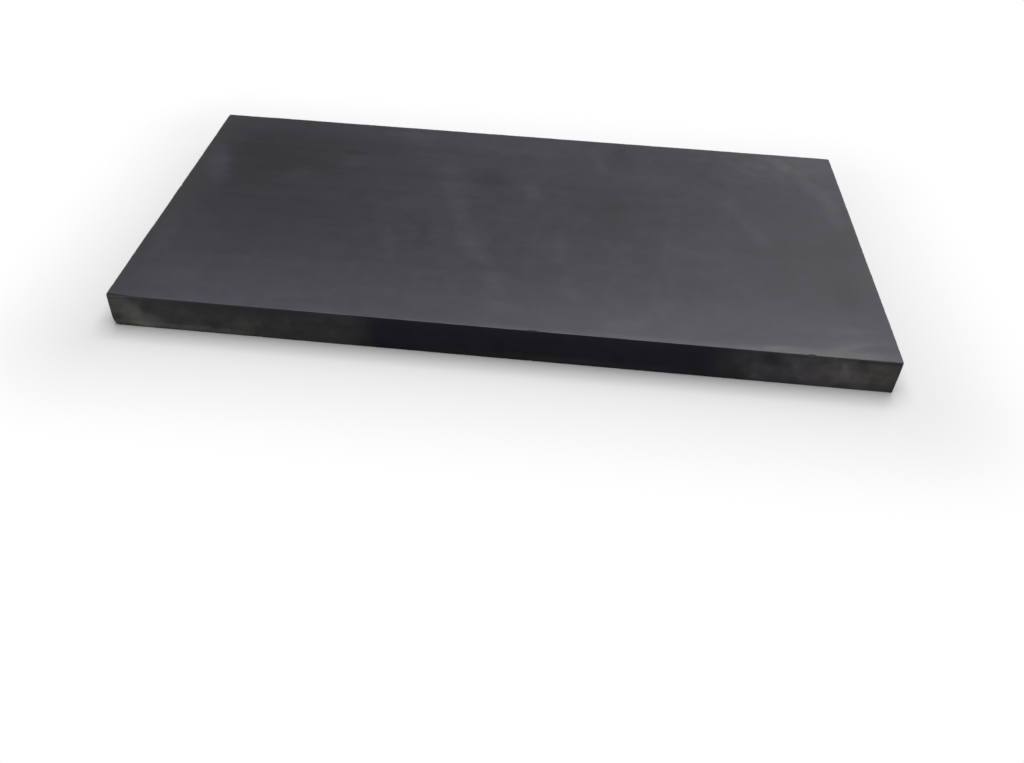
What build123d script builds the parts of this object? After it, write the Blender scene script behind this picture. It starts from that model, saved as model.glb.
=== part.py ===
from build123d import *

import os
from math import sqrt

# Graphite plate: a flat rectangular plate sawn from a moulded graphite block.
#
# It lies flat with its long side on X and its front on the -Y side. The origin is the centre of the
# underside, and Z points up, out of the upper face. Graphite is soft and brittle, so handling has rubbed
# the sharp sawn edges to a narrow flat all round, and has crumbled them where the plate was knocked.

# Driving dimensions, mm
LENGTH = 600
WIDTH = 300
THICKNESS = 30
EDGE_FLAT = 0.5

# Nicks in the upper front edge: middle along X, length along the edge, depth into the edge
FRONT_NICKS = [
    (27.5, 11.0, 0.9),
    (234.0, 7.0, 0.8),
]

# The upper front edge is rubbed down further over its last stretch, towards the left corner
RUBBED_RUN = 20
RUBBED_FLAT = 1.8

# Facets broken off the lower front left corner: reach along X, along Y and up Z
CORNER_FACETS = [
    (2.2, 2.0, 8.0),
    (5.0, 4.0, 3.0),
]

FRONT = -WIDTH / 2
LEFT = -LENGTH / 2

with BuildPart() as plate:
    # Sawn blank, with the narrow flat along all twelve edges
    with BuildSketch():
        Rectangle(LENGTH, WIDTH)
    extrude(amount=THICKNESS)
    chamfer(plate.edges(), EDGE_FLAT)

    # Rubbed stretch: a three-sided wedge along the edge, which widens towards the left corner
    for station, flat in ((LEFT, RUBBED_FLAT), (LEFT + RUBBED_RUN, EDGE_FLAT)):
        with BuildSketch(Plane.YZ.offset(station)):
            with BuildLine():
                Polyline(
                    (FRONT, THICKNESS - flat),
                    (FRONT, THICKNESS),
                    (FRONT + flat, THICKNESS),
                    close=True,
                )
            make_face()
    loft(mode=Mode.SUBTRACT)

    # Nicks: each is a shallow hollow, left by a ball centred out along the 45 degree line of the edge
    for middle, chord, depth in FRONT_NICKS:
        radius = (chord**2 / 4 + depth**2) / (2 * depth)
        stand_off = (radius - depth) / sqrt(2)
        with Locations((middle, FRONT - stand_off, THICKNESS + stand_off)):
            Sphere(radius, mode=Mode.SUBTRACT)

    # Broken corner: each facet is a plane through its three reaches, and what lies outside it is gone
    for reach_x, reach_y, reach_z in CORNER_FACETS:
        facet = Plane(
            origin=(LEFT + reach_x, FRONT, 0),
            z_dir=(-1 / reach_x, -1 / reach_y, -1 / reach_z),
        )
        with BuildSketch(facet):
            Circle(reach_x + reach_y + reach_z)
        extrude(amount=reach_x + reach_y + reach_z, mode=Mode.SUBTRACT)

plate.part.label = "graphite_plate"

os.makedirs("parts", exist_ok=True)
export_step(plate.part, "parts/graphite_plate.step")
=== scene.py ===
from math import pi, radians

import bpy
import numpy as np
from mathutils import Matrix, Vector


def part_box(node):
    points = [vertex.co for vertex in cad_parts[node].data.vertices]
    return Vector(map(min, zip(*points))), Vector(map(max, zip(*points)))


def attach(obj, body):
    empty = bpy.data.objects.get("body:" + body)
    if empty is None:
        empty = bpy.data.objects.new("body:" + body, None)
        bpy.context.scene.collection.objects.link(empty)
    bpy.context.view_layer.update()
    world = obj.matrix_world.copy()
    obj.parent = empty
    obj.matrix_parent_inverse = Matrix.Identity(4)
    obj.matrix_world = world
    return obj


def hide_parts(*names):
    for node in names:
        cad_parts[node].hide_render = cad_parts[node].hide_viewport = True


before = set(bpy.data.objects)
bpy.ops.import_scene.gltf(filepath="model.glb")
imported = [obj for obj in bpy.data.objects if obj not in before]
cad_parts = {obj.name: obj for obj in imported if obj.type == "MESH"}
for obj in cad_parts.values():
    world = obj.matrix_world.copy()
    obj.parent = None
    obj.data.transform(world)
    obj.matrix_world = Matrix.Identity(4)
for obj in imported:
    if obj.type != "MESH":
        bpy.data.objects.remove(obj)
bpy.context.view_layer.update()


# The plate is one slab of moulded graphite, sawn from a block, with its two broad faces ground flat.
# Graphite is soft and brittle, so handling has rubbed and crumbled the sharp edges all round. Two
# nicks are knocked out of the upper front edge, and the lower front left corner has broken off.
plate_low, plate_high = (np.array(corner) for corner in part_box("graphite_plate"))
plate_middle = (plate_low + plate_high) / 2
plate_half = (plate_high - plate_low) / 2
left, front, underside = plate_low
upper_face = plate_high[2]

# The radius of the worn edges, and the least one. At the corners it swells by a share of itself, which
# fades away over the length named last.
edge_radius = 0.00055
least_radius = 0.00025
corner_swell = 0.7
corner_fade = 0.004

# Crumbs off the edge: about how long and how deep they are. One comes off where noise of unit spread
# passes the start, which it does in about a tenth of places.
crumb_length = 0.0042
crumb_depth = 0.00055
crumb_start = 1.25

# Fresh breaks are rough: the length and depth of their grain, which is full where this much is lost
fresh_grain_length = 0.0016
fresh_grain_depth = 0.00012
fresh_grain_loss = 0.0003

# Beside the worn edge, a narrow strip is partly polished by handling: its width, and its greatest share
handled_strip = 0.0022
handled_share = 0.40

# How far the surface has moved where it counts as fully rubbed, and as fully broken
full_rub = 0.2 * edge_radius
full_break = 0.0002

# Nicks in the upper front edge: middle along X, length along the edge, depth into the edge
front_nicks = [
    (0.0275, 0.0110, 0.0009),
    (0.2340, 0.0070, 0.0008),
]

# The upper front edge is rubbed down further over its last stretch, towards the left corner
rubbed_run = 0.020
rubbed_flat = 0.0018

# Facets broken off the lower front left corner: reach along X, along Y and up Z
corner_facets = [
    (0.0022, 0.0020, 0.0080),
    (0.0050, 0.0040, 0.0030),
]

# The fine mesh of the rim reaches this far into the broad faces, and their plain grid starts further in
rim_width = 0.008
grid_inset = 0.016


def stepped(length, step_of):
    """Places from 0 to length, spaced as step_of(place) says. The steps passed are summed up along the
    length, and the places are read back where that sum reaches whole numbers."""
    fine = np.linspace(0, length, 24001)
    passed = np.append(0, np.cumsum(np.diff(fine) / step_of((fine[1:] + fine[:-1]) / 2)))
    return np.interp(np.linspace(0, passed[-1], int(np.ceil(passed[-1])) + 1), passed, fine)


def spaced(from_edge, finest, growth, longest):
    """The step between mesh points at a distance from an edge: it grows with it, up to the longest."""
    return np.minimum(finest + growth * from_edge, longest)


def drift(points, seed, wavelength):
    """Smooth noise of unit spread at the points: a sum of sine waves with seeded directions and phases,
    all about as long as the wavelength."""
    waves = 28
    rng = np.random.default_rng(seed)
    direction = rng.normal(size=(waves, 3))
    direction /= np.linalg.norm(direction, axis=1, keepdims=True)
    pace = 2 * pi / (wavelength * rng.uniform(0.7, 1.6, waves))
    phase = rng.uniform(0, 2 * pi, waves)
    return np.sin(points @ (direction * pace[:, None]).T + phase).sum(-1) / np.sqrt(waves / 2)


def way_round():
    """The way once round the plate, seen from above against the clock from the front left corner. Gives
    for each point the side's number plus the share of it passed, and its place on a square of half
    width 1. The steps are finest at the corners, the nicks and the rubbed stretch."""
    passed = []
    for side in range(4):
        length = 2 * plate_half[side % 2]

        def step_of(place, side=side, length=length):
            longest = 0.0011
            from_corner = np.minimum(place, length - place)
            step = spaced(from_corner, finest=0.00012, growth=0.25, longest=longest)
            if side == 0:
                for middle, chord, _ in front_nicks:
                    beside = np.maximum(np.abs(place + left - middle) - chord / 2, 0)
                    step = np.minimum(step, spaced(beside, finest=0.00035, growth=0.2, longest=longest))
                beyond = np.maximum(place - rubbed_run, 0)
                step = np.minimum(step, spaced(beyond, finest=0.00045, growth=0.1, longest=longest))
            return step

        passed.append(side + stepped(length, step_of)[:-1] / length)
    passed = np.concatenate(passed)
    corners = np.array([[-1, -1], [1, -1], [1, 1], [-1, 1], [-1, -1]], float)
    side = passed.astype(int)
    share = (passed - side)[:, None]
    return passed, corners[side] * (1 - share) + corners[side + 1] * share


def rim_section():
    """The section across the rim, from the upper face over its edge, down the side and under the lower
    edge: each row's distance in from the side, and its height. The rows crowd together at the edges."""
    height = 2 * plate_half[2]

    def above_step(place):
        return spaced(place, finest=0.00012, growth=0.35, longest=0.0020)

    def side_step(place):
        return spaced(np.minimum(place, height - place), finest=0.00012, growth=0.35, longest=0.0025)

    def below_step(place):
        return spaced(place, finest=0.00016, growth=0.55, longest=0.0025)

    above = stepped(rim_width, above_step)
    down = stepped(height, side_step)
    below = stepped(rim_width, below_step)
    inset = np.concatenate([above[::-1], 0 * down[1:], below[1:]])
    return inset, upper_face - np.concatenate([0 * above, down[1:], 0 * below[1:] + height])


def rub(points):
    """Rounds the sharp slab. Each point is drawn towards the slab shrunk by the local edge radius, until
    it is that radius away from it. The radius wanders along the edge, swells towards the corners, and
    jumps where crumbs have come off."""
    slowly = 0.20 * drift(points, seed=11, wavelength=0.045)
    quickly = 0.16 * drift(points, seed=12, wavelength=0.007)
    radius = edge_radius * (1 + slowly + quickly)
    crumbs = np.maximum(drift(points, seed=13, wavelength=crumb_length) - crumb_start, 0)
    crumbs *= np.maximum(0.6 + 0.7 * drift(points, seed=14, wavelength=0.060), 0)
    inward = plate_half - np.abs(points - plate_middle)
    from_corner = np.sort(inward, axis=-1)[..., 2]
    radius *= 1 + corner_swell * np.exp(-from_corner / corner_fade)
    radius = np.maximum(radius + crumb_depth * crumbs, least_radius)[..., None]
    core_half = plate_half - radius
    core = plate_middle + np.clip(points - plate_middle, -core_half, core_half)
    out = points - core
    return core + out * (radius / np.linalg.norm(out, axis=-1, keepdims=True))


def bite(points, centre, radius):
    """Pushes the points inside a ball straight away from its centre, onto its surface."""
    away = points - centre
    distance = np.linalg.norm(away, axis=-1, keepdims=True)
    return np.where(distance < radius, centre + away * (radius / distance), points)


def cut_back(points, on_plane, outward):
    """Moves the points outside a plane straight back onto it."""
    outward = np.array(outward) / np.linalg.norm(outward)
    over = np.maximum((points - on_plane) @ outward, 0)
    return points - over[..., None] * outward


def break_off(points):
    """Takes the rubbed stretch, the nicks and the broken corner off the surface, and roughens each
    broken place by pushing it in a little further along its own way in. Gives the points, and how much
    was lost at each."""
    slope = (rubbed_flat - edge_radius) / rubbed_run
    broken = cut_back(points, (left, front + rubbed_flat, upper_face), (-slope, -1, 1))
    for middle, chord, depth in front_nicks:
        radius = (chord**2 / 4 + depth**2) / (2 * depth)
        stand_off = (radius - depth) / np.sqrt(2)
        broken = bite(broken, (middle, front - stand_off, upper_face + stand_off), radius)
    for reach_x, reach_y, reach_z in corner_facets:
        on_plane = (left + reach_x, front, underside)
        broken = cut_back(broken, on_plane, (-1 / reach_x, -1 / reach_y, -1 / reach_z))
    way_in = broken - points
    lost = np.linalg.norm(way_in, axis=-1)
    rough = np.abs(drift(points, seed=15, wavelength=fresh_grain_length))
    deeper = fresh_grain_depth * np.clip(lost / fresh_grain_loss, 0, 1) * rough
    return broken + way_in * (deeper / np.maximum(lost, 1e-9))[..., None], lost


def cap(rim_passed, rim_first, level, cells):
    """Closes a broad face inside the rim: a plain grid of cells, and round it triangles that fan from
    each grid point to the rim points nearest to it on the way round. The faces' numbers count the
    grid's points from zero, and the rim's from where they stand before them."""
    along, across = cells
    half = plate_half[:2] - grid_inset
    columns = np.linspace(-half[0], half[0], along + 1)
    x, y = np.meshgrid(columns, np.linspace(-half[1], half[1], across + 1))
    points = np.stack([x, y, np.full_like(x, level)], -1).reshape(-1, 3)
    number = np.arange(len(points)).reshape(across + 1, along + 1)
    squares = np.stack([number[:-1, :-1], number[:-1, 1:], number[1:, 1:], number[1:, :-1]], -1)
    ring = np.concatenate([number[0, :-1], number[:-1, -1], number[-1, :0:-1], number[:0:-1, 0]])
    ring_passed = [side + np.arange(count) / count for side, count in enumerate((along, across) * 2)]
    ring_passed = np.append(np.concatenate(ring_passed), 4)
    half_way = rim_passed + (np.roll(rim_passed, -1) - rim_passed) % 4 / 2
    nearest = np.round(np.interp(half_way, ring_passed, np.arange(len(ring) + 1)))
    nearest = ring[nearest.astype(int) % len(ring)]
    nearest_after = np.roll(nearest, -1)
    rim = rim_first + np.arange(len(rim_passed))
    after = np.roll(rim, -1)
    fans = np.stack([rim, after, nearest], -1)
    joins = np.stack([after, nearest_after, nearest], -1)[nearest != nearest_after]
    return points, squares.reshape(-1, 4), np.concatenate([fans, joins])


passed, square = way_round()
inset, level = rim_section()
rows, around = len(inset), len(passed)
sharp = np.empty((rows, around, 3))
sharp[..., :2] = square * (plate_half[:2] - inset[:, None, None])
sharp[..., 2] = level[:, None]
rubbed = rub(sharp)
rim, lost = break_off(rubbed)
number = np.arange(rows * around).reshape(rows, around)
ahead = np.roll(number, -1, axis=1)
rim_squares = np.stack([number[:-1], number[1:], ahead[1:], ahead[:-1]], -1).reshape(-1, 4)

# The broad faces close the rim's first and last rows: the row, the face's level, its grid's cells, and
# which way round its faces' points go, so that both faces point outwards
broad_faces = [
    (0, upper_face, (58, 28), 1),
    (-1, underside, (40, 20), -1),
]
points = rim.reshape(-1, 3)
faces = rim_squares.tolist()
for row, level_of_face, cells, turned in broad_faces:
    inner, squares, triangles = cap(passed, number[row, 0] - len(points), level_of_face, cells)
    faces += (squares[:, ::turned] + len(points)).tolist()
    faces += (triangles[:, ::turned] + len(points)).tolist()
    points = np.concatenate([points, inner])
points = np.clip(points, plate_low, plate_high)

plate_mesh = bpy.data.meshes.new("worn_plate")
plate_mesh.from_pydata(points.tolist(), [], faces)
plate_mesh.polygons.foreach_set("use_smooth", np.ones(len(faces), bool))
rubbed_in = np.linalg.norm(rubbed - sharp, axis=-1) / full_rub
from_edge = np.sort(plate_half - np.abs(sharp - plate_middle), axis=-1)[..., 1]
rubbed_in = np.maximum(rubbed_in, handled_share * np.exp(-from_edge / handled_strip))
for name, amount in (("rubbed", rubbed_in), ("broken", lost / full_break)):
    values = np.zeros(len(points), np.float32)
    values[: rows * around] = np.clip(amount, 0, 1).ravel()
    plate_mesh.attributes.new(name, "FLOAT", "POINT").data.foreach_set("value", values)

# Faces between two rows that lie on the side are sawn, and all others are ground
sawn = np.zeros(len(faces), np.int32)
sawn[: (rows - 1) * around] = np.repeat(inset[:-1] + inset[1:] == 0, around)
plate_mesh.polygons.foreach_set("material_index", sawn)
plate = bpy.data.objects.new("worn_plate", plate_mesh)
bpy.context.scene.collection.objects.link(plate)


def add(tree, kind, inputs=None, **settings):
    """Adds a shader node with its settings, and gives each input a value or another node's output."""
    node = tree.nodes.new("ShaderNode" + kind)
    for name, value in settings.items():
        setattr(node, name, value)
    for place, value in (inputs or {}).items():
        if isinstance(value, bpy.types.NodeSocket):
            tree.links.new(value, node.inputs[place])
        else:
            node.inputs[place].default_value = value
    return node


def plus(tree, *terms):
    """The sum of values, outputs, and pairs of an output and its weight."""
    total = None
    for term in terms:
        if isinstance(term, tuple):
            factors = {0: term[0], 1: term[1], 2: total if total is not None else 0.0}
            total = add(tree, "Math", factors, operation="MULTIPLY_ADD").outputs[0]
        elif total is None:
            total = term
        else:
            total = add(tree, "Math", {0: total, 1: term}, operation="ADD").outputs[0]
    return total


def times(tree, one, other):
    """The product of two values."""
    return add(tree, "Math", {0: one, 1: other}, operation="MULTIPLY").outputs[0]


def ramp(tree, value, low, high, to_low=0.0, to_high=1.0):
    """Carries a value from low..high to to_low..to_high, with soft ends and no overshoot."""
    ends = {"Value": value, "From Min": low, "From Max": high, "To Min": to_low, "To Max": to_high}
    return add(tree, "MapRange", ends, interpolation_type="SMOOTHSTEP").outputs[0]


def speckle(tree, place, pace, detail, roughness, distortion=0.0):
    """Noise centred on zero and within a half either way, with the pace as its waves in each unit of the
    place."""
    inputs = {
        "Vector": place,
        "Scale": pace,
        "Detail": detail,
        "Roughness": roughness,
        "Distortion": distortion,
    }
    raw = add(tree, "TexNoise", inputs).outputs["Fac"]
    return add(tree, "Math", {0: raw, 1: 0.5}, operation="SUBTRACT").outputs[0]


def object_place(tree, pace=None, turn=0.0):
    """The place on the plate in metres, or with a pace, the place times the pace and turned about Z."""
    place = add(tree, "TexCoord").outputs["Object"]
    if pace is None:
        return place
    inputs = {"Vector": place, "Rotation": (0, 0, radians(turn)), "Scale": pace}
    return add(tree, "Mapping", inputs).outputs[0]


def new_group(name, *outputs, **inputs):
    """An empty node group with its outputs and inputs named, and the nodes at its two ends."""
    group = bpy.data.node_groups.new(name, "ShaderNodeTree")
    for socket_name, value in inputs.items():
        kind = "NodeSocketVector" if isinstance(value, tuple) else "NodeSocketFloat"
        socket = group.interface.new_socket(socket_name, in_out="INPUT", socket_type=kind)
        socket.default_value = value
    for socket_name in outputs:
        group.interface.new_socket(socket_name, in_out="OUTPUT", socket_type="NodeSocketFloat")
    return group, group.nodes.new("NodeGroupInput").outputs, group.nodes.new("NodeGroupOutput").inputs


def place_group(tree, group, **inputs):
    """Puts a node group in a material with its own values, and returns its outputs."""
    node = tree.nodes.new("ShaderNodeGroup")
    node.node_tree = group
    for name, value in inputs.items():
        node.inputs[name].default_value = value
    return node.outputs


# Pressed graphite powder: broad clouds, mottle of some millimetres, the fine dark grain, and pores that
# are few and of many sizes
outputs = ("Cloud", "Mottle", "Grain", "Pores")
graphite_body, given, made = new_group("pressed graphite", *outputs, Start=(0, 0, 0))
place = add(graphite_body, "VectorMath", {0: object_place(graphite_body), 1: given["Start"]}).outputs[0]
cloud = speckle(graphite_body, place, pace=9.0, detail=4.0, roughness=0.5, distortion=0.8)
mottle = speckle(graphite_body, place, pace=75.0, detail=4.0, roughness=0.6, distortion=0.4)
grain = speckle(graphite_body, place, pace=1300.0, detail=2.0, roughness=0.7)
graphite_body.links.new(cloud, made["Cloud"])
graphite_body.links.new(mottle, made["Mottle"])
graphite_body.links.new(grain, made["Grain"])

# A pore takes up the middle of its cell, out to a distance of 0.26 times a random number's fourth power
cells = add(graphite_body, "TexVoronoi", {"Vector": place, "Scale": 700.0}).outputs
chance = add(graphite_body, "SeparateColor", {0: cells["Color"]}).outputs[0]
chance = add(graphite_body, "Math", {0: chance, 1: 4.0}, operation="POWER").outputs[0]
pore = plus(graphite_body, (chance, 0.26), (cells["Distance"], -1.0))
graphite_body.links.new(ramp(graphite_body, pore, 0.0, 0.07), made["Pores"])

# Lines of the saw or the grinding wheel: noise drawn out one way, as hairlines, close lines and bands
cutting_lines, given, made = new_group("cutting lines", "Hairlines", "Lines", "Bands", Pace=(1, 1, 1))
place = add(
    cutting_lines,
    "VectorMath",
    {0: object_place(cutting_lines), 1: given["Pace"]},
    operation="MULTIPLY",
).outputs[0]
hairlines = speckle(cutting_lines, place, pace=16.0, detail=2.0, roughness=0.7)
close_lines = speckle(cutting_lines, place, pace=1.0, detail=3.0, roughness=0.6)
bands = speckle(cutting_lines, place, pace=0.11, detail=2.0, roughness=0.5)
cutting_lines.links.new(hairlines, made["Hairlines"])
cutting_lines.links.new(close_lines, made["Lines"])
cutting_lines.links.new(bands, made["Bands"])

# Worn edges: where the rounded edge is rubbed bright in patches, and where nicks and the corner have
# broken off
edge_wear, _, made = new_group("edge wear", "Rubbed", "Broken")
patches = speckle(edge_wear, object_place(edge_wear), pace=45.0, detail=5.0, roughness=0.65)
patches = ramp(edge_wear, patches, -0.12, 0.14, 0.15, 1.0)
rubbed_mark = add(edge_wear, "Attribute", attribute_name="rubbed").outputs["Fac"]
edge_wear.links.new(times(edge_wear, rubbed_mark, patches), made["Rubbed"])
broken_mark = add(edge_wear, "Attribute", attribute_name="broken").outputs["Fac"]
edge_wear.links.new(ramp(edge_wear, broken_mark, 0.1, 0.8), made["Broken"])

# Marks on the upper face, seen from above: broad tones of painted shade and sheen, and marks rubbed in
# by hands and by stacking. Each gives its middle along X and Y, half length, half width, turn of the
# length from X in degrees, and strength, with lighter above zero
upper_marks = [
    # Broad tones of painted shade and sheen: the shaded dark back left, and slow changes over the rest
    (-0.205, 0.045, 0.170, 0.150, 0, -0.95),
    (-0.215, 0.110, 0.170, 0.110, 0, -0.85),
    (-0.245, 0.055, 0.052, 0.085, 0, -0.35),
    (-0.240, -0.090, 0.040, 0.030, 0, -0.35),
    (-0.098, 0.050, 0.024, 0.045, 0, -0.30),
    (-0.060, 0.075, 0.070, 0.034, 0, -0.42),
    (-0.050, -0.095, 0.070, 0.034, 0, 0.22),
    (0.010, -0.132, 0.050, 0.022, 0, 0.50),
    (0.045, 0.070, 0.090, 0.070, 0, -0.40),
    (0.090, 0.020, 0.070, 0.022, 90, -0.45),
    (0.210, 0.115, 0.060, 0.036, 0, 0.28),
    (0.225, 0.118, 0.085, 0.040, 0, 0.50),
    (0.275, 0.130, 0.100, 0.045, 0, 0.70),
    (0.289, 0.078, 0.014, 0.038, 0, 0.40),
    (0.250, -0.010, 0.110, 0.090, 0, -0.30),
    (0.255, -0.072, 0.065, 0.045, 0, -0.22),
    (0.205, -0.126, 0.062, 0.017, 0, -0.50),
    # Light wipes of a hand over the left part
    (-0.283, 0.062, 0.056, 0.017, 106, 1.50),
    (-0.286, -0.066, 0.046, 0.014, 92, 0.80),
    (-0.252, -0.108, 0.036, 0.020, 60, 0.45),
    (-0.200, 0.048, 0.020, 0.015, 40, 0.60),
    (-0.170, -0.130, 0.020, 0.010, 10, 0.50),
    (-0.155, 0.072, 0.024, 0.016, 60, 0.50),
    (-0.112, 0.134, 0.048, 0.014, 6, 0.80),
    (-0.100, -0.055, 0.030, 0.011, 96, 0.50),
    # The long wipe down the middle, in four strokes, and short ones beside it
    (-0.064, 0.068, 0.050, 0.022, 111, 0.80),
    (-0.050, 0.012, 0.046, 0.014, 108, 0.95),
    (-0.032, -0.036, 0.046, 0.017, 114, 1.10),
    (-0.008, -0.092, 0.058, 0.017, 108, 0.85),
    (0.018, 0.045, 0.030, 0.012, 94, 0.95),
    (0.022, 0.115, 0.040, 0.018, 92, 0.40),
    (0.047, -0.040, 0.040, 0.009, 98, 0.50),
    (0.055, -0.094, 0.034, 0.015, 100, 0.75),
    (0.076, 0.108, 0.038, 0.010, 94, 0.90),
    # Light wipes over the right part
    (0.094, -0.135, 0.036, 0.013, 16, 1.05),
    (0.125, -0.100, 0.050, 0.013, 84, 0.35),
    (0.138, -0.035, 0.060, 0.013, 88, 0.55),
    (0.190, 0.048, 0.031, 0.015, 102, 0.70),
    (0.210, 0.008, 0.036, 0.012, 102, 0.75),
    (0.215, -0.124, 0.045, 0.009, 8, 0.40),
    (0.254, 0.130, 0.034, 0.016, 134, 0.90),
    (0.272, -0.118, 0.034, 0.009, 12, 0.55),
    (0.274, 0.092, 0.036, 0.015, 112, 0.90),
    (0.286, 0.048, 0.038, 0.012, 94, 0.60),
    # Dark places between the wipes
    (-0.155, 0.090, 0.014, 0.009, 0, -0.50),
    (-0.140, 0.018, 0.018, 0.010, 80, -0.50),
    (-0.072, -0.040, 0.032, 0.010, 92, -0.60),
    (-0.022, 0.068, 0.036, 0.038, 0, -0.30),
    (-0.020, 0.062, 0.042, 0.026, 92, -0.65),
    (0.078, 0.080, 0.022, 0.018, 0, -0.40),
    (0.099, 0.130, 0.034, 0.016, 92, -0.75),
    (0.118, -0.030, 0.022, 0.024, 0, -0.35),
    (0.168, -0.138, 0.036, 0.011, 0, -0.50),
    (0.275, -0.068, 0.036, 0.016, 86, -0.40),
]

# Lighter stretches of the margin along the upper face's front edge, partly polish and partly a painted
# highlight where the edge catches the light, in the same terms
margin_marks = [
    (-0.110, -0.1480, 0.040, 0.0040, 2, 0.30),
    (-0.005, -0.1440, 0.020, 0.0050, 0, 0.40),
    (0.068, -0.1445, 0.012, 0.0040, 0, 0.50),
    (0.080, -0.1490, 0.210, 0.0055, 0, 0.90),
    (0.098, -0.1470, 0.045, 0.0050, 0, 0.55),
    (0.200, -0.1460, 0.040, 0.0060, 4, 0.30),
    (0.210, -0.1445, 0.014, 0.0040, 8, 1.00),
    (0.245, -0.1475, 0.090, 0.0090, 1, 2.20),
    (0.260, -0.1390, 0.018, 0.0050, 20, 1.20),
    (0.262, -0.1350, 0.024, 0.0090, 10, 0.60),
    (0.281, -0.1315, 0.022, 0.0045, 14, 0.70),
]


def marks(tree, place, listed):
    """Sums up soft marks. Each is one minus the distance from its middle, measured in half lengths and
    half widths, eased to a soft edge and times its strength."""
    total = 0.0
    for x, y, half_length, half_width, turn, strength in listed:
        reach = {
            "Vector": place,
            "Location": (x, y, 0.0),
            "Rotation": (0.0, 0.0, radians(turn)),
            "Scale": (half_length, half_width, 1.0),
        }
        spot = add(tree, "Mapping", reach, vector_type="TEXTURE").outputs[0]
        ball = add(tree, "TexGradient", {"Vector": spot}, gradient_type="SPHERICAL").outputs["Fac"]
        total = plus(tree, total, (ramp(tree, ball, 0.0, 0.9), strength))
    return total


def laid_flat(tree, place):
    """The place with its third way set to zero."""
    return add(tree, "VectorMath", {0: place, 1: (1.0, 1.0, 0.0)}, operation="MULTIPLY").outputs[0]


def swayed(tree, place, sway):
    """The place laid flat, plus smooth noise times the sway, so that marks on it run unevenly."""
    flat = laid_flat(tree, place)
    wave = {"Vector": place, "Scale": 24.0, "Detail": 3.0}
    wave = add(tree, "TexNoise", wave).outputs["Color"]
    wave = add(tree, "VectorMath", {0: wave, 1: (0.5, 0.5, 0.5)}, operation="SUBTRACT").outputs[0]
    wave = add(tree, "VectorMath", {0: wave, 1: sway}, operation="MULTIPLY").outputs[0]
    return add(tree, "VectorMath", {0: flat, 1: wave}).outputs[0]


def mixed(tree, share, one, other):
    """One colour carried towards another by a share. A Mix node has its colours at inputs 6 and 7, and
    its mixed colour at output 2."""
    node = add(tree, "Mix", {"Factor": share}, data_type="RGBA")
    for socket, colour in ((node.inputs[6], one), (node.inputs[7], other)):
        if isinstance(colour, tuple):
            socket.default_value = (*colour, 1.0)
        else:
            tree.links.new(colour, socket)
    return node.outputs[2]


def shaded(tree, colour, factor):
    """A colour made lighter or darker by a factor."""
    return add(tree, "VectorMath", {0: colour, "Scale": factor}, operation="SCALE").outputs[0]


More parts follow.
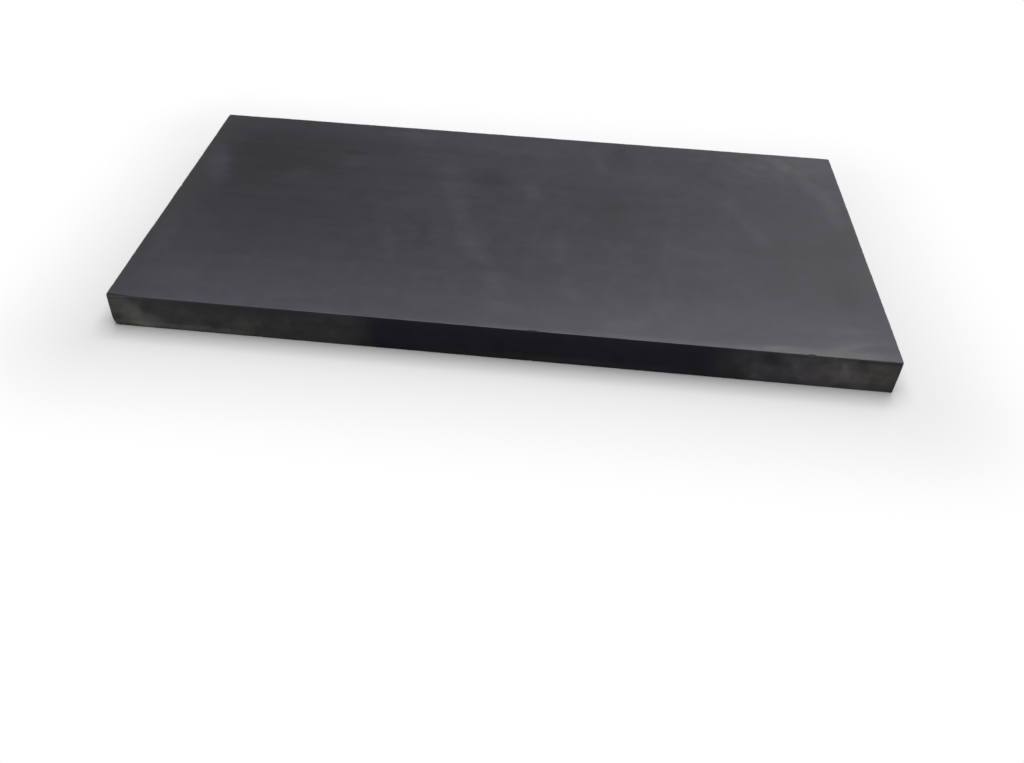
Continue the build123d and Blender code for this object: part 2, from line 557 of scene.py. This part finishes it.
def ground_graphite():
    """The broad faces, ground flat: satin dark grey, cloudy, with hand marks, painted shade and sheen,
    and hairline scratches.
    """
    violet_grey = (0.0384, 0.0367, 0.0478)
    blue_grey = (0.0378, 0.0384, 0.0479)
    mark_and_sheen_grey = (0.0402, 0.0397, 0.0430)
    plain_grey = (0.0405, 0.0405, 0.0425)
    rubbed_grey = (0.110, 0.109, 0.122)
    broken_grey = (0.033, 0.032, 0.036)
    material = bpy.data.materials.new("graphite_ground")
    material.use_nodes = True
    tree = material.node_tree
    shader = tree.nodes["Principled BSDF"]
    body = place_group(tree, graphite_body)
    lines = place_group(tree, cutting_lines, Pace=(2.5, 90.0, 90.0))
    wear = place_group(tree, edge_wear)
    place = object_place(tree)
    along, across, height = add(tree, "SeparateXYZ", {0: place}).outputs
    on_top = ramp(tree, height, 0.8 * upper_face, 0.95 * upper_face)
    # The marks: hand wipes and polish, painted shade and sheen in broad tones, and a painted highlight
    # along the front edge
    marks_and_sheen = marks(tree, swayed(tree, place, (0.024, 0.020, 0.0)), upper_marks)
    marks_and_sheen = plus(tree, marks_and_sheen, marks(tree, laid_flat(tree, place), margin_marks))
    marks_and_sheen = times(tree, times(tree, marks_and_sheen, on_top), plus(tree, 1.0, (body["Mottle"], 1.5)))
    # Sets of hairline scratches: waves a metre along, across and up, and the turn of the set in degrees
    scratch_sets = [
        ((6.0, 420.0, 1.0), 4.0),
        ((5.0, 380.0, 1.0), -71.0),
        ((9.0, 400.0, 1.0), 27.0),
    ]
    scratches = 0.0
    for pace, turn in scratch_sets:
        hair = speckle(tree, object_place(tree, pace, turn), pace=1.0, detail=1.0, roughness=0.5)
        hair = add(tree, "Math", {0: hair}, operation="ABSOLUTE").outputs[0]
        scratches = plus(tree, scratches, ramp(tree, hair, 0.0, 0.006, 1.0, 0.0))
    where = speckle(tree, place, pace=16.0, detail=3.0, roughness=0.6)
    scratches = times(tree, scratches, ramp(tree, where, 0.02, 0.16))
    # Painted sheen: the upper face is lighter in a band along its front, and a little along its back
    front_sheen_band = ramp(tree, plus(tree, across, (body["Cloud"], 0.05)), -0.145, -0.060, 1.0, 0.0)
    back_sheen_band = ramp(tree, plus(tree, across, (body["Cloud"], 0.05)), 0.095, 0.145)
    tone = plus(
        tree,
        1.0,
        (body["Cloud"], 0.60),
        (body["Mottle"], 0.60),
        (body["Grain"], 0.45),
        (body["Pores"], -0.45),
        (lines["Hairlines"], 0.28),
        (lines["Lines"], 0.26),
        (lines["Bands"], 0.40),
        (marks_and_sheen, 0.36),
        (times(tree, front_sheen_band, on_top), 0.50),
        (times(tree, back_sheen_band, on_top), 0.18),
        (scratches, 0.16),
    )
    colour = mixed(tree, ramp(tree, along, 0.03, 0.16), violet_grey, blue_grey)
    # Light marks and painted sheen lean towards a plain grey
    colour = mixed(tree, times(tree, marks_and_sheen, 0.35), colour, mark_and_sheen_grey)
    colour = shaded(tree, colour, tone)
    left_end = ramp(tree, along, -0.300, -0.265, 0.50, 0.0)
    colour = mixed(tree, left_end, colour, plain_grey)
    colour = mixed(tree, times(tree, wear["Rubbed"], 0.55), colour, rubbed_grey)
    colour = mixed(tree, times(tree, wear["Broken"], 0.7), colour, broken_grey)
    tree.links.new(colour, shader.inputs["Base Color"])
    rough = plus(
        tree,
        0.40,
        (body["Cloud"], -0.10),
        (body["Grain"], 0.12),
        (body["Pores"], 0.25),
        (lines["Hairlines"], 0.12),
        (lines["Lines"], 0.10),
        (marks_and_sheen, -0.05),
        (wear["Rubbed"], -0.08),
        (wear["Broken"], 0.30),
    )
    tree.links.new(rough, shader.inputs["Roughness"])
    relief = plus(
        tree,
        (body["Grain"], 1.0),
        (body["Pores"], -1.5),
        (lines["Hairlines"], 0.8),
        (lines["Lines"], 0.5),
        (scratches, -0.5),
        (times(tree, wear["Broken"], body["Grain"]), 5.0),
    )
    bump = add(tree, "Bump", {"Height": relief, "Distance": 0.00003, "Strength": 0.6})
    tree.links.new(bump.outputs[0], shader.inputs["Normal"])
    shader.inputs["Specular IOR Level"].default_value = 0.4
    return material


# Dust and hand grease on the front side, and painted light bounced up from below over both ends:
# middle along X and up Z, half length, half width, turn of the length from X in degrees, and strength
front_dust_and_bounce_marks = [
    # The left end, dusty all over and lit by painted bounce light, both most at its foot
    (-0.300, 0.015, 0.190, 0.060, 0, 0.17),
    (-0.290, 0.014, 0.022, 0.020, 0, 0.44),
    (-0.282, 0.016, 0.016, 0.009, -62, 0.42),
    (-0.275, 0.004, 0.010, 0.004, 0, 0.30),
    (-0.272, 0.007, 0.020, 0.012, 0, 0.62),
    (-0.235, 0.003, 0.070, 0.005, 0, 0.50),
    (-0.190, 0.014, 0.020, 0.012, 60, 0.15),
    (-0.296, 0.009, 0.008, 0.007, 0, -0.36),
    (-0.283, 0.024, 0.007, 0.005, 0, -0.20),
    (-0.268, 0.020, 0.009, 0.008, 30, -0.12),
    (-0.222, 0.009, 0.012, 0.007, 0, -0.12),
    (-0.220, 0.004, 0.010, 0.004, 0, -0.35),
    (-0.200, 0.0260, 0.110, 0.008, 0, -0.14),
    # The foot of the middle, with a little dust and painted bounce light
    (0.060, 0.003, 0.150, 0.006, 0, 0.13),
    # The right end, dusty all over and lit warm by painted bounce light, with a light streak and dark
    # places
    (0.200, 0.004, 0.010, 0.006, 0, 0.35),
    (0.215, 0.015, 0.065, 0.036, 0, 0.56),
    (0.226, 0.020, 0.010, 0.005, 100, 0.22),
    (0.260, 0.017, 0.012, 0.004, 100, 0.50),
    (0.275, 0.015, 0.055, 0.036, 0, 0.66),
    (0.208, 0.022, 0.012, 0.018, 80, -0.34),
    (0.242, 0.024, 0.010, 0.005, 20, -0.22),
    (0.250, 0.009, 0.007, 0.007, 0, -0.20),
    (0.272, 0.021, 0.009, 0.014, 0, -0.28),
    (0.284, 0.0285, 0.036, 0.003, 0, -0.15),
]

# Places where the dust and painted bounce light on the front side are tinged olive, in the same terms
olive_dust_and_bounce_marks = [
    (-0.192, 0.009, 0.028, 0.014, 0, 1.00),
    (-0.124, 0.007, 0.032, 0.012, 0, 0.80),
    (-0.276, 0.004, 0.014, 0.006, 0, 0.60),
]

# Places where the front side is pale with thick dust and painted bounce light, in the same terms
pale_dust_and_bounce_marks = [
    (-0.276, 0.0025, 0.014, 0.0055, 0, 0.80),
    (-0.281, 0.011, 0.007, 0.008, 0, 0.30),
]


def sawn_graphite():
    """The narrow sides, left as sawn: duller and darker, with saw lines along them. The front side is
    lightened at both ends by dust and by painted light bounced up from below: grey with olive and pale
    places at the left end, and bluish, rosy and tawny in turn towards the right end. The other sides
    have a little plain dust."""
    dark_grey = (0.0338, 0.0316, 0.0462)
    grey_dust_and_bounce = (0.262, 0.263, 0.250)
    olive_dust_and_bounce = (0.268, 0.270, 0.215)
    pale_dust_and_bounce = (0.420, 0.420, 0.375)
    bluish_dust_and_bounce = (0.235, 0.230, 0.255)
    rosy_dust_and_bounce = (0.300, 0.264, 0.268)
    tawny_dust_and_bounce = (0.305, 0.270, 0.240)
    rubbed_grey = (0.090, 0.089, 0.100)
    broken_grey = (0.033, 0.032, 0.036)
    material = bpy.data.materials.new("graphite_sawn")
    material.use_nodes = True
    tree = material.node_tree
    shader = tree.nodes["Principled BSDF"]
    body = place_group(tree, graphite_body, Start=(3.7, 1.9, 0.0))
    lines = place_group(tree, cutting_lines, Pace=(5.0, 5.0, 700.0))
    wear = place_group(tree, edge_wear)
    tone = plus(
        tree,
        1.0,
        (body["Cloud"], 0.60),
        (body["Mottle"], 0.60),
        (body["Grain"], 0.50),
        (body["Pores"], -0.45),
        (lines["Lines"], 0.45),
        (lines["Bands"], 0.60),
    )
    along, across, height = add(tree, "SeparateXYZ", {0: object_place(tree)}).outputs
    upright = add(tree, "CombineXYZ", {0: along, 1: height}).outputs[0]
    ways = swayed(tree, upright, (0.020, 0.006, 0.0))
    # Painted light bounced up from below, with dust, lightens the left third of the front side
    left_dust_and_bounce_zone = ramp(tree, plus(tree, along, (body["Cloud"], 0.04)), -0.114, -0.088, 1.0, 0.0)
    dust_and_bounce = plus(tree, marks(tree, ways, front_dust_and_bounce_marks), (left_dust_and_bounce_zone, 0.27))
    plain_dust = ramp(tree, body["Cloud"], -0.12, 0.25, 0.0, 0.22)
    on_front = ramp(tree, across, 0.99 * front, 0.98 * front, 1.0, 0.0)
    dust_and_bounce = plus(tree, plain_dust, times(tree, on_front, plus(tree, dust_and_bounce, (plain_dust, -1.0))))
    streaks = plus(tree, 1.0, (lines["Lines"], 0.6), (lines["Bands"], 0.5), (body["Mottle"], 1.4))
    dust_and_bounce = times(tree, dust_and_bounce, streaks)
    # The right end takes the warm colour of painted light bounced up from the floor, with dust
    right_dust_and_bounce = mixed(tree, ramp(tree, along, 0.222, 0.248), bluish_dust_and_bounce, rosy_dust_and_bounce)
    right_dust_and_bounce = mixed(tree, ramp(tree, along, 0.270, 0.295), right_dust_and_bounce, tawny_dust_and_bounce)
    left_dust_and_bounce = mixed(tree, marks(tree, ways, olive_dust_and_bounce_marks), grey_dust_and_bounce, olive_dust_and_bounce)
    left_dust_and_bounce = mixed(tree, marks(tree, ways, pale_dust_and_bounce_marks), left_dust_and_bounce, pale_dust_and_bounce)
    dust_and_bounce_colour = mixed(tree, ramp(tree, along, -0.1, 0.1), left_dust_and_bounce, right_dust_and_bounce)
    colour = shaded(tree, dark_grey, tone)
    colour = mixed(tree, dust_and_bounce, colour, dust_and_bounce_colour)
    colour = mixed(tree, times(tree, wear["Rubbed"], 0.5), colour, rubbed_grey)
    colour = mixed(tree, times(tree, wear["Broken"], 0.7), colour, broken_grey)
    tree.links.new(colour, shader.inputs["Base Color"])
    rough = plus(
        tree,
        0.60,
        (body["Pores"], 0.20),
        (lines["Lines"], 0.12),
        (wear["Rubbed"], -0.10),
        (wear["Broken"], 0.25),
    )
    tree.links.new(rough, shader.inputs["Roughness"])
    relief = plus(tree, (body["Grain"], 1.2), (body["Pores"], -1.5), (lines["Lines"], 2.0))
    bump = add(tree, "Bump", {"Height": relief, "Distance": 0.00004, "Strength": 0.7})
    tree.links.new(bump.outputs[0], shader.inputs["Normal"])
    shader.inputs["Specular IOR Level"].default_value = 0.3
    return material


plate_mesh.materials.append(ground_graphite())
plate_mesh.materials.append(sawn_graphite())
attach(plate, "root")
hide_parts("graphite_plate")


# The floor is a plain pale sheet that runs out of sight. It takes the plate's shadow near the plate,
# and fades into the white surroundings a little way off.
def pale_floor():
    """Pale matt near the plate and plain white further off, by the distance from the plate's outline.
    Rays that neither the camera nor clear material sends meet a duller floor, so that it throws little
    light up at the plate."""
    fade_start = 0.012
    fade_end = 0.130
    pale_grey = (0.97, 0.97, 0.97, 1)
    dull_grey = (0.20, 0.20, 0.20, 1)
    material = bpy.data.materials.new("pale_floor")
    material.use_nodes = True
    tree = material.node_tree
    tree.nodes.clear()
    place = add(tree, "VectorMath", {0: object_place(tree)}, operation="ABSOLUTE").outputs[0]
    beyond = {0: place, 1: (plate_half[0], plate_half[1], 0.0)}
    beyond = add(tree, "VectorMath", beyond, operation="SUBTRACT").outputs[0]
    beyond = add(tree, "VectorMath", {0: beyond, 1: (0.0, 0.0, 0.0)}, operation="MAXIMUM").outputs[0]
    away = add(tree, "VectorMath", {0: beyond}, operation="LENGTH").outputs["Value"]
    matt = add(tree, "BsdfDiffuse", {"Color": pale_grey}).outputs[0]
    white = add(tree, "Emission", {"Color": (1, 1, 1, 1), "Strength": 1.0}).outputs[0]
    fade = ramp(tree, away, fade_start, fade_end)
    seen = add(tree, "MixShader", {0: fade, 1: matt, 2: white}).outputs[0]
    unseen = add(tree, "BsdfDiffuse", {"Color": dull_grey}).outputs[0]
    rays = add(tree, "LightPath").outputs
    kinds = {0: rays["Is Camera Ray"], 1: rays["Is Transmission Ray"]}
    clear = add(tree, "Math", kinds, operation="MAXIMUM").outputs[0]
    both = add(tree, "MixShader", {0: clear, 1: unseen, 2: seen}).outputs[0]
    tree.links.new(both, add(tree, "OutputMaterial").inputs["Surface"])
    return material


floor_reach = 30.0
floor_corners = [(x * floor_reach, y * floor_reach, 0) for x, y in ((-1, -1), (1, -1), (1, 1), (-1, 1))]
floor_mesh = bpy.data.meshes.new("floor")
floor_mesh.from_pydata(floor_corners, [], [(0, 1, 2, 3)])
floor_mesh.materials.append(pale_floor())
floor = bpy.data.objects.new("floor", floor_mesh)
bpy.context.scene.collection.objects.link(floor)


# The light is plain and soft: a wide lamp overhead, two wide ones behind to the right, whose sheen lies
# across the right of the upper face, and even light from the surroundings.
def soft_lamp(name, place, width, radiance):
    """A square lamp turned to the plate, as bright as the radiance says, so its power is the radiance
    times pi times its area."""
    lamp = bpy.data.lights.new(name, "AREA")
    lamp.shape = "SQUARE"
    lamp.size = width
    lamp.energy = radiance * pi * width**2
    holder = bpy.data.objects.new(name, lamp)
    holder.location = place
    holder.rotation_euler = (-Vector(place)).to_track_quat("-Z", "Y").to_euler()
    holder.visible_camera = False
    bpy.context.scene.collection.objects.link(holder)


soft_lamp("overhead_lamp", place=(0.0, 0.3, 2.2), width=2.0, radiance=3.0)
soft_lamp("back_lamp", place=(0.45, 1.35, 2.0), width=1.2, radiance=1.2)
soft_lamp("back_right_lamp", place=(1.2, 1.5, 1.5), width=1.4, radiance=0.9)

# The surroundings light the plate evenly and weakly, and show plain white to the camera

world = bpy.data.worlds.new("surroundings")
bpy.context.scene.world = world
world.use_nodes = True
sky = world.node_tree
sky.nodes.clear()
even = add(sky, "Background", {"Color": (1, 1, 1, 1), "Strength": 0.20}).outputs[0]
white = add(sky, "Background", {"Color": (1, 1, 1, 1), "Strength": 1.0}).outputs[0]
rays = add(sky, "LightPath").outputs
kinds = {0: rays["Is Camera Ray"], 1: rays["Is Transmission Ray"]}
clear = add(sky, "Math", kinds, operation="MAXIMUM").outputs[0]
both = add(sky, "MixShader", {0: clear, 1: even, 2: white}).outputs[0]
sky.links.new(both, add(sky, "OutputWorld").inputs["Surface"])


# The camera stands in front, about half a metre above the floor, and looks down at the plate. Its place,
# its turns and its lens are fitted to the plate's outlines in the photo.
camera_place = (0.0358, -0.6811, 0.4766)
pan = radians(4.15)
tilt_down = radians(38.64)
roll = radians(2.285)
camera_data = bpy.data.cameras.new("camera")
camera_data.sensor_width = 36.0
camera_data.lens = 32.67
camera_data.shift_x = 0.019
camera_data.shift_y = -0.074
camera_data.clip_start = 0.01
camera = bpy.data.objects.new("camera", camera_data)
camera.matrix_world = (
    Matrix.Translation(camera_place)
    @ Matrix.Rotation(pan, 4, "Z")
    @ Matrix.Rotation(pi / 2 - tilt_down, 4, "X")
    @ Matrix.Rotation(roll, 4, "Z")
)
bpy.context.scene.collection.objects.link(camera)
bpy.context.scene.camera = camera
bpy.context.scene.view_settings.view_transform = "Standard"
